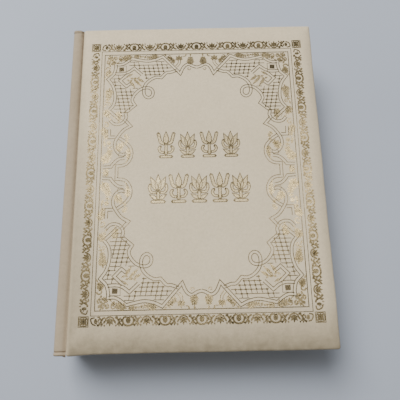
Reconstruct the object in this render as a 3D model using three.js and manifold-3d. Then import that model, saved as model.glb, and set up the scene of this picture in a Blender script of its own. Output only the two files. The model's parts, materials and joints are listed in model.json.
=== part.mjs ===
// A large family Bible with padded imitation-leather covers, lying closed on its back cover.
// Millimetres. +X points to the fore edge, +Y to the head, +Z up through the front cover.
// The origin is the middle of the footprint, on the surface that the book lies on.

import * as THREE from 'three';
import { mergeVertices } from 'three/addons/utils/BufferGeometryUtils.js';
import Module from 'manifold-3d';

const wasm = await Module();
wasm.setup();

// Driving dimensions

const WIDTH = 235; // fore edge to the roundest line of the spine
const HEIGHT = 298; // head to tail, over the covers
const THICKNESS = 60; // lying closed

const LEATHER = 1; // cover material, on the outside of a board
const TURN_IN = 0.5; // the same material, pared thin where it is turned in
const TURN_IN_WIDTH = 15;
const BOARD = 3;
const CORNER_RADIUS = 2;
const SLIP = 0.1; // between two flat layers
const FIT = 0.2; // round a piece that sits in a pocket

const SPINE_BULGE = 5; // how far the spine rounds out between its shoulders
const SPINE_HALF = 22; // half the spine panel's width, across the book's thickness
const SPINE_CARD = 1.1;
const HOLLOW = 0.35; // between the spine panel and the lined folds
const LINER = 0.3;
const MULL = 0.3;
const THREAD = 0.3;
const THREAD_WIDTH = 1.2;
const SEWING_STATIONS = 6;

const JOINT_WIDTH = 10; // the groove that each cover turns in, shoulder to board
const JOINT_INSET = 4; // from the shoulder to the line that the cover turns about
const JOINT_OUTWARD = 24; // from the book's middle out to that line
const JOINT_RELIEF = 0.5; // keeps the covering's lip clear of that line
const PASTEDOWN = 0.25;
const SECTIONS = 22;
const SQUARE = 4; // how far the covers overhang the pages
const LEAF = 0.3;
const FRONT_LEAVES = ['front_flyleaf', 'presentation_leaf', 'family_record_leaf', 'title_leaf'];
const LEAF_RELIEF = 2; // from a joint's line to the inner edge of a loose leaf

const HEADBAND_RADIUS = 1.2;
const FOIL = 0.1;
const FOIL_WIDTH = 197;
const FOIL_HEIGHT = 256.5;
const FOIL_BAND = 9;
const FOIL_CENTRE = { x: 7.1, y: 1.4 };

// The padded cover's outline: how far each ring lies outward of the book's middle, and how far it
// is drawn in from the edges. The margins slope down from the flat crown to the edges.
const MIDDLE = THICKNESS / 2;
const CROWN = [
  { outward: MIDDLE - 3.5, inset: 0 },
  { outward: MIDDLE - 1.9, inset: 2.6 },
  { outward: MIDDLE - 0.6, inset: 6.2 },
  { outward: MIDDLE, inset: 10.5 },
];

// Places that follow from them

const EDGE = { x: WIDTH / 2, y: HEIGHT / 2 };
const SHOULDER_X = -EDGE.x + SPINE_BULGE;
const COVER_LEFT = SHOULDER_X + JOINT_WIDTH;
const BOARD_INNER = MIDDLE - 7.7;
const TURN_IN_INNER = BOARD_INNER - SLIP - TURN_IN;
const PASTEDOWN_INNER = TURN_IN_INNER - SLIP / 2 - PASTEDOWN;
const PAGE_HALF_HEIGHT = EDGE.y - LEATHER - FIT - SQUARE;
const JOINT_X = SHOULDER_X + JOINT_INSET;
const INLAY_OFFSET = LEATHER + SLIP;
const FLAP_OFFSET = INLAY_OFFSET + SPINE_CARD + SLIP / 2;
const LINER_OFFSET = FLAP_OFFSET + TURN_IN + HOLLOW;
const MULL_OFFSET = LINER_OFFSET + LINER + SLIP;
const THREAD_OFFSET = MULL_OFFSET + MULL + SLIP;
const FOLD_OFFSET = THREAD_OFFSET + THREAD + SLIP;
const LEAF_PITCH = LEAF + SLIP;

const PAGES_TOP = MIDDLE + PASTEDOWN_INNER - SLIP - FRONT_LEAVES.length * LEAF_PITCH;
const PAGES_BOTTOM = MIDDLE - PASTEDOWN_INNER + SLIP + LEAF_PITCH;
const SECTION_PITCH = (PAGES_TOP - PAGES_BOTTOM) / SECTIONS;
const SECTION_GAP = 0.05;
const FORE_EDGE_X = EDGE.x - LEATHER - FIT - SQUARE - 0.5;
const SHOULDER_FOLD_X = spineX(PAGES_BOTTOM, FOLD_OFFSET);
const PAGE_WIDTH = FORE_EDGE_X - SHOULDER_FOLD_X;

// Materials

function material(color, roughness, metalness = 0) {
  return new THREE.MeshStandardMaterial({ color, roughness, metalness });
}

const LOOKS = {
  coverLeather: () => material(0xd8cfbd, 0.55),
  foam: () => material(0xe8dfc4, 0.95),
  greyBoard: () => material(0x9a9388, 0.9),
  endpaper: () => material(0xe9e2cf, 0.85),
  page: () => material(0xf1ead8, 0.8),
  gauze: () => material(0xeeeade, 0.95),
  kraft: () => material(0xa9814f, 0.9),
  thread: () => material(0xf3efe4, 0.8),
  headband: () => material(0xd9b65c, 0.6),
  foil: () => material(0xb09a5c, 0.3, 1),
};

// Shapes

/** The x of a curve that runs parallel to the spine's outer face, at a height above the table. */
function spineX(z, offset) {
  const share = (z - MIDDLE) / SPINE_HALF;
  return SHOULDER_X + offset - SPINE_BULGE * (1 - share * share);
}

/** A rectangle with round corners, anticlockwise seen from above. */
function roundedRectangle(left, right, front, back, radius, steps = 3) {
  const corners = [
    [right - radius, back - radius, 0],
    [left + radius, back - radius, 1],
    [left + radius, front + radius, 2],
    [right - radius, front + radius, 3],
  ];
  const points = [];
  for (const [x, y, quarter] of corners) {
    for (let i = 0; i <= steps; i++) {
      const angle = (quarter + i / steps) * Math.PI / 2;
      points.push([x + radius * Math.cos(angle), y + radius * Math.sin(angle)]);
    }
  }
  return points;
}

/** A closed solid through convex rings of equally many points, from the lowest ring up. */
function loft(rings) {
  const count = rings[0].points.length;
  const position = [];
  const index = [];
  for (const { z, points } of rings) {
    for (const [x, y] of points) position.push(x, y, z);
  }
  for (let r = 0; r + 1 < rings.length; r++) {
    for (let i = 0; i < count; i++) {
      const a = r * count + i;
      const b = r * count + (i + 1) % count;
      index.push(a, b, b + count);
      index.push(a, b + count, a + count);
    }
  }
  const top = (rings.length - 1) * count;
  for (let i = 1; i + 1 < count; i++) {
    index.push(0, i + 1, i);
    index.push(top, top + i, top + i + 1);
  }
  const geometry = new THREE.BufferGeometry();
  geometry.setAttribute('position', new THREE.Float32BufferAttribute(position, 3));
  geometry.setIndex(index);
  geometry.computeVertexNormals();
  return geometry;
}

/** A slab of rings given outward from the book's middle: side is 1 for the front cover, -1 for the back. */
function coverLoft(side, rings) {
  const placed = rings.map(({ outward, inset }) => ({
    z: MIDDLE + side * outward,
    points: roundedRectangle(
      COVER_LEFT + inset, EDGE.x - inset, -EDGE.y + inset, EDGE.y - inset,
      CORNER_RADIUS + 0.6 * inset,
    ),
  }));
  return loft(side > 0 ? placed : placed.reverse());
}

/** A flat slab between two distances outward from the book's middle. */
function slab(side, left, right, halfHeight, inner, outer) {
  const low = MIDDLE + (side > 0 ? inner : -outer);
  const geometry = new THREE.BoxGeometry(right - left, 2 * halfHeight, outer - inner);
  geometry.translate((left + right) / 2, 0, low + (outer - inner) / 2);
  return geometry;
}

/** An outline in X and Z, drawn out along Y. */
function alongY(outline, front, back) {
  const shape = new THREE.Shape(outline.map(([x, z]) => new THREE.Vector2(x, z)));
  const geometry = new THREE.ExtrudeGeometry(shape, { depth: back - front, bevelEnabled: false });
  geometry.rotateX(Math.PI / 2);
  geometry.translate(0, back, 0);
  return geometry;
}

/** A curved band parallel to the spine's outer face. */
function spineBand(offset, thickness, low, high, front, back, steps = 12) {
  const outer = [];
  const inner = [];
  for (let i = 0; i <= steps; i++) {
    const z = low + (high - low) * i / steps;
    outer.push([spineX(z, offset), z]);
    inner.unshift([spineX(z, offset + thickness), z]);
  }
  return alongY([...outer, ...inner], front, back);
}

/** A closed geometry as a manifold solid, ready to be cut. */
function solid(geometry) {
  const bare = geometry.clone();
  bare.deleteAttribute('normal');
  if (bare.hasAttribute('uv')) bare.deleteAttribute('uv');
  const merged = mergeVertices(bare, 1e-4);
  const vertProperties = new Float32Array(merged.attributes.position.array);
  const triVerts = new Uint32Array(merged.index.array);
  return new wasm.Manifold(new wasm.Mesh({ numProp: 3, vertProperties, triVerts }));
}

/** A manifold solid as a geometry. */
function geometryOf(manifold) {
  const mesh = manifold.getMesh();
  const geometry = new THREE.BufferGeometry();
  geometry.setAttribute('position', new THREE.Float32BufferAttribute(mesh.vertProperties, 3));
  geometry.setIndex(new THREE.Uint32BufferAttribute(mesh.triVerts, 1));
  geometry.computeVertexNormals();
  return geometry;
}

// Pieces

const book = new THREE.Group();

function addPiece(name, geometry, look) {
  const piece = new THREE.Mesh(geometry, look());
  piece.name = name;
  book.add(piece);
}

/** The covering of one board: a tray with turned-in edges, and a lip along the joint. */
function coverLeather(side) {
  const outer = coverLoft(side, [{ outward: TURN_IN_INNER, inset: 0 }, ...CROWN]);
  const pocket = coverLoft(side, [
    { outward: TURN_IN_INNER + TURN_IN, inset: LEATHER },
    ...CROWN.map(({ outward, inset }) => ({ outward: outward - LEATHER, inset: inset + LEATHER })),
  ]);
  const window = slab(
    side, COVER_LEFT + LEATHER, EDGE.x - TURN_IN_WIDTH, EDGE.y - TURN_IN_WIDTH,
    TURN_IN_INNER - 1, TURN_IN_INNER + TURN_IN + 1,
  );
  const lip = slab(
    side, JOINT_X + JOINT_RELIEF, COVER_LEFT + LEATHER / 2, EDGE.y - LEATHER,
    JOINT_OUTWARD + SLIP, JOINT_OUTWARD + SLIP + LEATHER,
  );
  return geometryOf(solid(outer).subtract(solid(pocket)).subtract(solid(window)).add(solid(lip)));
}

/** The foam between the board and its covering. */
function padding(side) {
  const sideways = LEATHER + FIT;
  const rings = CROWN.map(({ outward, inset }) => ({
    outward: outward - LEATHER - FIT,
    inset: inset + sideways,
  }));
  rings[0] = { outward: BOARD_INNER + BOARD + SLIP, inset: sideways + FIT };
  return coverLoft(side, rings);
}

function board(side) {
  const inset = LEATHER + FIT;
  return coverLoft(side, [
    { outward: BOARD_INNER, inset },
    { outward: BOARD_INNER + BOARD, inset },
  ]);
}

function addCover(name, side) {
  const paper = EDGE.y - SQUARE;
  addPiece(`${name}_cover_leather`, coverLeather(side), LOOKS.coverLeather);
  addPiece(`${name}_padding`, padding(side), LOOKS.foam);
  addPiece(`${name}_board`, board(side), LOOKS.greyBoard);
  addPiece(
    `${name}_pastedown`,
    slab(side, COVER_LEFT + 0.5, EDGE.x - SQUARE, paper, PASTEDOWN_INNER, PASTEDOWN_INNER + PASTEDOWN),
    LOOKS.endpaper,
  );
}

/** The spine panel's covering, turned in over both ends of the card that stiffens it. */
function spineLeather() {
  const low = MIDDLE - SPINE_HALF;
  const high = MIDDLE + SPINE_HALF;
  const depth = FLAP_OFFSET + TURN_IN;
  const whole = spineBand(0, depth, low, high, -EDGE.y, EDGE.y);
  const pocket = spineBand(LEATHER, FLAP_OFFSET - LEATHER, low - 1, high + 1, -EDGE.y + LEATHER, EDGE.y - LEATHER);
  const window = spineBand(
    FLAP_OFFSET - 0.5, TURN_IN + 1.5, low - 1, high + 1,
    -EDGE.y + TURN_IN_WIDTH, EDGE.y - TURN_IN_WIDTH,
  );
  return geometryOf(solid(whole).subtract(solid(pocket)).subtract(solid(window)));
}

function addSpine() {
  const cardHalf = SPINE_HALF - 0.6;
  const cardEnd = EDGE.y - LEATHER - FIT;
  const lined = PAGE_HALF_HEIGHT - 4;
  const low = PAGES_BOTTOM + 1;
  const high = PAGES_TOP - 1;
  addPiece('spine_cover_leather', spineLeather(), LOOKS.coverLeather);
  addPiece(
    'spine_card',
    spineBand(INLAY_OFFSET, SPINE_CARD, MIDDLE - cardHalf, MIDDLE + cardHalf, -cardEnd, cardEnd),
    LOOKS.greyBoard,
  );
  addPiece('spine_liner', spineBand(LINER_OFFSET, LINER, low, high, -lined, lined), LOOKS.kraft);
  addPiece('mull', spineBand(MULL_OFFSET, MULL, low, high, -lined, lined), LOOKS.gauze);
  for (let i = 0; i < SEWING_STATIONS; i++) {
    const y = 2 * lined * ((i + 0.5) / SEWING_STATIONS - 0.5);
    addPiece(
      `sewing_thread_${i + 1}`,
      spineBand(THREAD_OFFSET, THREAD, low, high, y - THREAD_WIDTH / 2, y + THREAD_WIDTH / 2),
      LOOKS.thread,
    );
  }
}

/** A rolled band along the folds' ends, at the head or the tail. */
function headband(end) {
  const y = end * (PAGE_HALF_HEIGHT + SLIP + HEADBAND_RADIUS);
  const points = [];
  for (let i = 0; i <= 8; i++) {
    const z = PAGES_BOTTOM + 1.5 + (PAGES_TOP - PAGES_BOTTOM - 3) * i / 8;
    points.push(new THREE.Vector3(spineX(z, FOLD_OFFSET + HEADBAND_RADIUS), y, z));
  }
  const section = new THREE.Shape();
  section.absarc(0, 0, HEADBAND_RADIUS, 0, 2 * Math.PI);
  const extrudePath = new THREE.CatmullRomCurve3(points);
  return new THREE.ExtrudeGeometry(section, { extrudePath, steps: 12, curveSegments: 5, bevelEnabled: false });
}

/** One folded gathering of pages, with its round fold against the spine. */
function section(low, high) {
  const farthest = Math.abs(low - MIDDLE) > Math.abs(high - MIDDLE) ? low : high;
  const fold = spineX(farthest, FOLD_OFFSET);
  const fore = fold + PAGE_WIDTH;
  const outline = [
    [fold + 0.7, low],
    [fore, low],
    [fore, high],
    [fold + 0.7, high],
    [fold + 0.2, high - 0.4],
    [fold, (low + high) / 2],
    [fold + 0.2, low + 0.4],
  ];
  return alongY(outline, -PAGE_HALF_HEIGHT, PAGE_HALF_HEIGHT);
}

function addSections() {
  for (let i = 0; i < SECTIONS; i++) {
    const low = PAGES_BOTTOM + i * SECTION_PITCH;
    const number = String(i + 1).padStart(2, '0');
    addPiece(`section_${number}`, section(low, low + SECTION_PITCH - SECTION_GAP), LOOKS.page);
  }
}

function looseLeaf(side, outer) {
  return slab(side, JOINT_X + LEAF_RELIEF, FORE_EDGE_X, PAGE_HALF_HEIGHT, outer - LEAF, outer);
}

function addLooseLeaves() {
  const outermost = PASTEDOWN_INNER - SLIP;
  FRONT_LEAVES.forEach((name, i) => {
    const look = i === 0 ? LOOKS.endpaper : LOOKS.page;
    addPiece(name, looseLeaf(1, outermost - i * LEAF_PITCH), look);
  });
  addPiece('back_flyleaf', looseLeaf(-1, outermost), LOOKS.endpaper);
}

/** The gold band stamped round the front cover. */
function foilBand() {
  const { x, y } = FOIL_CENTRE;
  const rectangle = (inset) => [
    [x - FOIL_WIDTH / 2 + inset, y - FOIL_HEIGHT / 2 + inset],
    [x + FOIL_WIDTH / 2 - inset, y - FOIL_HEIGHT / 2 + inset],
    [x + FOIL_WIDTH / 2 - inset, y + FOIL_HEIGHT / 2 - inset],
    [x - FOIL_WIDTH / 2 + inset, y + FOIL_HEIGHT / 2 - inset],
  ].map(([px, py]) => new THREE.Vector2(px, py));
  const shape = new THREE.Shape(rectangle(0));
  shape.holes.push(new THREE.Path(rectangle(FOIL_BAND).reverse()));
  const geometry = new THREE.ExtrudeGeometry(shape, { depth: FOIL, bevelEnabled: false });
  geometry.translate(0, 0, THICKNESS + SLIP / 2);
  return geometry;
}

addCover('back', -1);
addSections();
addSpine();
addPiece('head_band', headband(1), LOOKS.headband);
addPiece('tail_band', headband(-1), LOOKS.headband);
addLooseLeaves();
addCover('front', 1);
addPiece('front_foil_band', foilBand(), LOOKS.foil);

export default book;
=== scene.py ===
import json
import math
import random

import bmesh
import bpy
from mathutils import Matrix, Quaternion, Vector


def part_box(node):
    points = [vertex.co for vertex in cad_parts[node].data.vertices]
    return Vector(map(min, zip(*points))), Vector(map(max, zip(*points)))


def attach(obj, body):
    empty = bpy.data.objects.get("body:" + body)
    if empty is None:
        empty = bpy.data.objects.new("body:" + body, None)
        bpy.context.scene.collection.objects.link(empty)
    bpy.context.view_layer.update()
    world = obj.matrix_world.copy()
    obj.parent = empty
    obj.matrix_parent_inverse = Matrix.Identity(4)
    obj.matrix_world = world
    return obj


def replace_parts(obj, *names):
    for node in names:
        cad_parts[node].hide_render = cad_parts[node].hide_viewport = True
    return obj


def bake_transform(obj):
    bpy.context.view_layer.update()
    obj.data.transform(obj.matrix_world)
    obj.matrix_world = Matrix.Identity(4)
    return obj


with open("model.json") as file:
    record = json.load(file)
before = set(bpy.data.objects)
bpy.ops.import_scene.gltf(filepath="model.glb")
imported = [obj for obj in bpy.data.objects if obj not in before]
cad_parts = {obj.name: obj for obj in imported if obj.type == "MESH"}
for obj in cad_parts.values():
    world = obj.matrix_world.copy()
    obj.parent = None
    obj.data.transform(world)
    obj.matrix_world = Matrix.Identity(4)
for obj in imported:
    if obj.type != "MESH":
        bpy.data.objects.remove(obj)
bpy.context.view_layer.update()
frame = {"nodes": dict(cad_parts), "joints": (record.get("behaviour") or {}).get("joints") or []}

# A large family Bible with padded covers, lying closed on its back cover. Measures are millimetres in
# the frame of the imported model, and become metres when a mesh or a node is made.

MM = 0.001


def box_mm(node):
    """The lowest and highest corners of a CAD node, in millimetres."""
    low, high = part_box(node)
    return low / MM, high / MM


def joint_place(name):
    """A point on a joint's axis, in millimetres."""
    found = next(joint for joint in frame["joints"] if joint["name"] == name)
    return Vector(found["pos_m"]) / MM


# Places taken from the frame

COVER_LOW, COVER_HIGH = box_mm("front_cover_leather")
BOARD_LOW, BOARD_HIGH = box_mm("front_board")
BACK_LOW = box_mm("back_cover_leather")[0]
SPINE_LOW = box_mm("spine_cover_leather")[0]
FOIL_LOW, FOIL_HIGH = box_mm("front_foil_band")
PASTE_LOW, PASTE_HIGH = box_mm("front_pastedown")
LEAF_LOW, LEAF_HIGH = box_mm("title_leaf")
HINGE = joint_place("front_cover_hinge")

MIDDLE = (COVER_HIGH.z + BACK_LOW.z) / 2
WRAP = COVER_HIGH.x - BOARD_HIGH.x  # the covering and its slack, beside the board
LEFT = BOARD_LOW.x - WRAP
RIGHT = COVER_HIGH.x
HALF = COVER_HIGH.y
CROWN = COVER_HIGH.z - MIDDLE  # the cover's flat middle, above the book's middle
UNDERSIDE = COVER_LOW.z - MIDDLE
GOLD = (FOIL_LOW + FOIL_HIGH) / 2
SIDES = {"front": 1, "back": -1}

# Measures of the coverings

SKIN = 0.5  # thickness of the imitation leather
CORNER = 2.0
MARGIN_FALL = 3.5  # how far the padded margins slope down
MARGIN_X = 11
MARGIN_Y = 16
EDGE_ROUND = 1.5
ROLL_WIDTH = 4.6  # the long rounding beside the spine
ROLL_DEPTH = 2.9
TURN_IN = 15
SPINE_BULGE = 5
SPINE_HALF = 22
FLAP_DEPTH = 2.75  # from the spine's outer face to the flap turned in behind its card

CAMERA_PLACE = Vector((7.1, -109.1, 394.3))
CAMERA_TURN = Vector((14.12, 0.08, -1.17))  # a rotation vector, in degrees
LENS = 36


# Camera, light and floor


def add_object(name, data):
    thing = bpy.data.objects.new(name, data)
    bpy.context.scene.collection.objects.link(thing)
    return thing


def add_camera():
    camera = add_object("camera", bpy.data.cameras.new("camera"))
    camera.data.sensor_width = 36
    camera.data.lens = LENS
    camera.data.clip_start = 0.01
    camera.location = CAMERA_PLACE * MM
    camera.rotation_mode = "QUATERNION"
    camera.rotation_quaternion = Quaternion(CAMERA_TURN, math.radians(CAMERA_TURN.length))
    bpy.context.scene.camera = camera


def add_light(name, place, target, size, watts, colour, seen_in):
    """A soft rectangular light, aimed at a point; it lights matt surfaces or shines in glossy ones."""
    lamp = bpy.data.lights.new(name, "AREA")
    lamp.shape = "RECTANGLE"
    lamp.size, lamp.size_y = size
    lamp.energy = watts
    lamp.color = colour
    light = add_object(name, lamp)
    light.location = place
    light.rotation_mode = "QUATERNION"
    light.rotation_quaternion = (Vector(target) - Vector(place)).to_track_quat("-Z", "Y")
    light.visible_diffuse = seen_in == "matt"
    light.visible_glossy = seen_in == "gloss"
    light.visible_camera = False


def add_lights():
    world = bpy.data.worlds.new("studio")
    bpy.context.scene.world = world
    world.use_nodes = True
    background = world.node_tree.nodes["Background"]
    background.inputs["Color"].default_value = (1.0, 0.98, 0.95, 1)
    background.inputs["Strength"].default_value = 0.25
    add_light("key", (-0.63, 0.96, 1.75), (0, 0, 0), (1.2, 1.2), 69, (1.0, 0.985, 0.96), "matt")
    add_light("glint", (-0.36, 0.5, 1.56), (-0.1, 0, 0), (0.16, 1.2), 2.7, (1.0, 0.95, 0.85), "gloss")
    add_light("window", (0.53, 0.44, 1.56), (0.1, 0, 0), (0.14, 1.1), 2.2, (1.0, 0.93, 0.80), "gloss")
    add_light("ceiling", (0, 0.42, 1.7), (0, 0, 0), (1.7, 1.1), 2.8, (1.0, 0.95, 0.86), "gloss")


def add_floor():
    mesh = bpy.data.meshes.new("floor")
    size = 6
    corners = [(-size, -size, 0), (size, -size, 0), (size, size, 0), (-size, size, 0)]
    mesh.from_pydata(corners, [], [(0, 1, 2, 3)])
    floor = add_object("floor", mesh)
    finish = Finish("table_top", (0.403, 0.447, 0.530), 0.6)
    finish.colour(finish.noise(260, 2).ramp((0.3, (0.392, 0.434, 0.515)), (0.7, (0.415, 0.461, 0.545))))
    mesh.materials.append(finish.material)


# Materials


class Field:
    """A number that changes over a surface: a node's output, with its own arithmetic."""

    def __init__(self, finish, socket):
        self.finish = finish
        self.socket = socket

    def math(self, operation, other=0.0, clamp=False):
        node = self.finish.node("Math", (0, self), (1, other))
        node.operation = operation
        node.use_clamp = clamp
        return Field(self.finish, node.outputs[0])

    def __add__(self, other):
        return self.math("ADD", other)

    def __sub__(self, other):
        return self.math("SUBTRACT", other)

    def __mul__(self, other):
        return self.math("MULTIPLY", other)

    def __truediv__(self, other):
        return self.math("DIVIDE", other)

    def __abs__(self):
        return self.math("ABSOLUTE")

    def __lt__(self, other):
        return self.math("LESS_THAN", other)

    def rise(self, low, high, start=0.0, end=1.0):
        """The number taken from one range to another, held at the ends."""
        node = self.finish.node(
            "MapRange", ("Value", self), ("From Min", low), ("From Max", high),
            ("To Min", start), ("To Max", end),
        )
        return Field(self.finish, node.outputs["Result"])

    def ramp(self, low, high):
        """A colour between two stops, each a position and a colour."""
        node = self.finish.node("ValToRGB", ("Fac", self))
        for element, (position, colour) in zip(node.color_ramp.elements, (low, high)):
            element.position = position
            element.color = (*colour, 1)
        return node.outputs["Color"]


class Finish:
    """One procedural material, built round a principled shader. Sizes are in millimetres."""

    def __init__(self, name, colour, roughness, metallic=0.0):
        self.material = bpy.data.materials.new(name)
        self.material.use_nodes = True
        self.tree = self.material.node_tree
        self.shader = self.tree.nodes["Principled BSDF"]
        self.set("Base Color", (*colour, 1))
        self.set("Roughness", roughness)
        self.set("Metallic", metallic)
        self.places = self.tree.nodes.new("ShaderNodeTexCoord")
        self.coordinates = self.places.outputs["Object"]

    def set(self, socket, value):
        """Gives one of the shader's sockets a plain value, or links it to a node's output."""
        self.feed(self.shader.inputs[socket], value)

    def feed(self, socket, value):
        value = getattr(value, "socket", value)
        if isinstance(value, bpy.types.NodeSocket):
            self.tree.links.new(value, socket)
        else:
            socket.default_value = value

    def node(self, kind, *inputs):
        """A new node, with its inputs given as names or numbers and their values."""
        node = self.tree.nodes.new(f"ShaderNode{kind}")
        for socket, value in inputs:
            self.feed(node.inputs[socket], value)
        return node

    def use_leaf_places(self):
        """Takes places from the mesh's own flat map, which stays with a sheet as it bends."""
        self.coordinates = self.places.outputs["UV"]

    def texture(self, kind, size, along, *inputs):
        """A texture node, with its coordinates scaled along each axis where that is asked for."""
        where = self.coordinates
        if along:
            where = self.node("Mapping", ("Vector", where), ("Scale", along)).outputs["Vector"]
        return self.node(kind, ("Vector", where), ("Scale", 1 / (size * MM)), *inputs)

    def noise(self, size, detail=2.0, roughness=0.5, along=None):
        node = self.texture("TexNoise", size, along, ("Detail", detail), ("Roughness", roughness))
        return Field(self, node.outputs["Fac"])

    def cells(self, size):
        return Field(self, self.texture("TexVoronoi", size, None).outputs["Distance"])

    def waves(self, size, axis):
        node = self.texture("TexWave", 10 * size / math.pi, None, ("Distortion", 0.0))
        node.bands_direction = axis
        return Field(self, node.outputs["Fac"])

    def axis(self, letter):
        """The place along one axis, in millimetres."""
        node = self.node("SeparateXYZ", (0, self.coordinates))
        return Field(self, node.outputs[letter]) * (1 / MM)

    def mix(self, share, first, second):
        """Two colours mixed: the first where share is 0, the second where it is 1."""
        node = self.node("Mix", ("Factor", share))
        node.data_type = "RGBA"
        for name, value in (("A", first), ("B", second)):
            whole = (*value, 1) if isinstance(value, tuple) else value
            self.feed(next(s for s in node.inputs if s.name == name and s.type == "RGBA"), whole)
        return next(s for s in node.outputs if s.type == "RGBA")

    def colour(self, value):
        self.set("Base Color", value)

    def relief(self, *layers):
        """Bumps, each a height, a strength and a depth in millimetres, from the coarsest to the finest."""
        normal = None
        for height, strength, depth in layers:
            bump = self.node("Bump", ("Strength", strength), ("Distance", depth * MM), ("Height", height))
            if normal:
                self.feed(bump.inputs["Normal"], normal)
            normal = bump.outputs["Normal"]
        self.set("Normal", normal)


def strongest(*shares):
    """The highest of several shares at each place."""
    highest = shares[0]
    for share in shares[1:]:
        highest = highest.math("MAXIMUM", share)
    return highest


def leatherette(name, light, dark, soil_and_shade_colour):
    """Imitation leather: pebble grain over soft wrinkles, toned and slightly soiled with age, with painted
    shade on its margins and beside the joint.
    """
    finish = Finish(name, light, 0.5)
    tone = finish.noise(55, 3).ramp((0.36, dark), (0.64, light))
    mottle = finish.noise(2.6, 3, 0.6)
    pits = finish.cells(0.8)
    soil_and_shade_layers = (
        mottle.rise(0.36, 0.70, 0.0, 0.15),
        finish.noise(13, 4, 0.6).rise(0.46, 0.8, 0.0, 0.10),
        pits.rise(0.05, 0.55, 0.14, 0.0),
        wear_and_painted_shade(finish),
    )
    # the soil colour also paints the shade of the sloping margins and of the side by the joint
    for share in soil_and_shade_layers:
        tone = finish.mix(share, tone, soil_and_shade_colour)
    # painted shade of the joint's groove and the spine's end folds, with some grime
    tone = finish.mix(joint_shade_and_grime(finish), tone, (0.165, 0.125, 0.083))
    specks = finish.cells(17) < 0.022
    finish.colour(finish.mix(specks * 0.6, tone, (0.30, 0.24, 0.18)))
    finish.set("Roughness", finish.noise(6, 3).rise(0.3, 0.7, 0.44, 0.6))
    finish.set("Specular IOR Level", 0.45)
    finish.relief(
        (finish.noise(14, 3), 0.35, 0.25),
        (mottle, 0.6, 0.26),
        (pits, 0.4, 0.12),
        (finish.noise(0.35, 2), 0.25, 0.04),
    )
    return finish.material


def wear_and_painted_shade(finish):
    """How soiled the covering is, with painted shade: on its margins, at its edges, and most of all towards
    the tail.
    """
    x = finish.axis("X")
    y = finish.axis("Y")
    lowness = y.rise(HALF * 0.7, -HALF * 0.7)
    # painted shade beside the joint, with some soil, widening towards the tail
    joint_side_soil_and_shade = ((x - LEFT) / lowness.rise(0, 1, 4.5, 28)).rise(1, 0).math("POWER", 0.55)
    # painted shade: the tail margin, the tail edge and the fore margin are darker for the light falling off
    # the padded slopes; the head edge and the fore-edge's tail corner are wear
    worn = strongest(
        y.rise(HALF - 12, HALF, 0.02, 0.14),
        y.rise(42 - HALF, 2 - HALF, 0.0, 0.82),
        y.rise(2.0 - HALF, -HALF, 0.0, 0.84),
        x.rise(RIGHT - 22, RIGHT, 0.0, 0.12),
        joint_side_soil_and_shade * lowness.rise(0, 1, 0.15, 0.74),
        (abs(x - RIGHT) + (y + HALF)).rise(6, 2, 0.0, 1.0),
    )
    on_board = x.rise(LEFT - 1, LEFT + 4, 0.05, 1.0)
    patchy = finish.noise(7, 4, 0.6).rise(0.3, 0.7, 0.82, 1.18)
    return (worn * on_board).math("MULTIPLY", patchy, True)


def joint_shade_and_grime(finish):
    """Painted shade with some dirt: darker in the groove between spine and board, in the folds at the spine's
    ends, along the spine strip towards the groove and the head, and on the board's side of the groove.
    """
    x = finish.axis("X")
    along = finish.axis("Y")
    from_middle = abs(along)
    from_groove = abs(x - (LEFT - 0.7))
    on_spine = x < LEFT - 0.3
    groove = from_groove.rise(1.5, 0.3) * along.rise(-HALF, HALF, 0.0, 0.92)
    spine_ends = strongest(
        abs(from_middle - (HALF - 2.5)).rise(0.8, 0.15, 0.0, 0.85),
        from_middle.rise(HALF - 0.1, HALF + 0.5, 0.0, 0.95),
        x.rise(LEFT - 10, LEFT - 1.2, 0.04, 0.36) * along.rise(-40, HALF),
        from_groove.rise(2.6, 0.8) * along.rise(HALF - 10, HALF - 4, 0.0, 0.9),
    )
    # painted shade on the board's slope beside the groove
    board_side = x.rise(LEFT + 6.5, LEFT + 2.5) * on_spine.rise(0, 1, 1.0, 0.0)
    board_side = board_side * along.rise(20, -HALF * 0.6, 0.0, 0.04)
    patchy = finish.noise(5, 4, 0.6).rise(0.3, 0.7, 0.7, 1.2)
    return strongest(groove, board_side, spine_ends * on_spine).math("MULTIPLY", patchy, True)


def foam():
    finish = Finish("polyfoam", (0.72, 0.62, 0.40), 0.95)
    cells = finish.cells(0.9)
    tone = cells.ramp((0.1, (0.50, 0.41, 0.24)), (0.5, (0.76, 0.67, 0.45)))
    aged = finish.noise(30, 3).rise(0.35, 0.75, 0.0, 0.5)
    finish.colour(finish.mix(aged, tone, (0.62, 0.45, 0.20)))
    finish.relief((finish.noise(12, 2), 0.3, 0.5), (cells, 0.7, 0.35))
    return finish.material


def grey_board():
    finish = Finish("grey_board", (0.33, 0.30, 0.26), 0.9)
    fibres = finish.noise(1.2, 5, 0.7, (1, 0.25, 1))
    finish.colour(fibres.ramp((0.3, (0.24, 0.22, 0.19)), (0.7, (0.40, 0.37, 0.32))))
    finish.relief((finish.noise(5, 3), 0.2, 0.2), (fibres, 0.5, 0.1))
    return finish.material


def paper(name, light, dark, flat_map=False):
    """Smooth book paper, yellowed unevenly, with a faint fibre."""
    finish = Finish(name, light, 0.75)
    if flat_map:
        finish.use_leaf_places()
    fibres = finish.noise(0.9, 4, 0.65, (1, 0.35, 1))
    tone = finish.noise(70, 3).ramp((0.35, dark), (0.65, light))
    finish.tone = finish.mix(fibres.rise(0.35, 0.75, 0.0, 0.25), tone, dark)
    finish.colour(finish.tone)
    finish.set("Specular IOR Level", 0.3)
    finish.relief((finish.noise(25, 2), 0.15, 0.4), (fibres, 0.25, 0.03))
    return finish


def page_places(finish):
    """Places on a page, measured from its middle."""
    return finish.axis("X") - (LEAF_LOW.x + LEAF_HIGH.x) / 2, finish.axis("Y")


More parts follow.
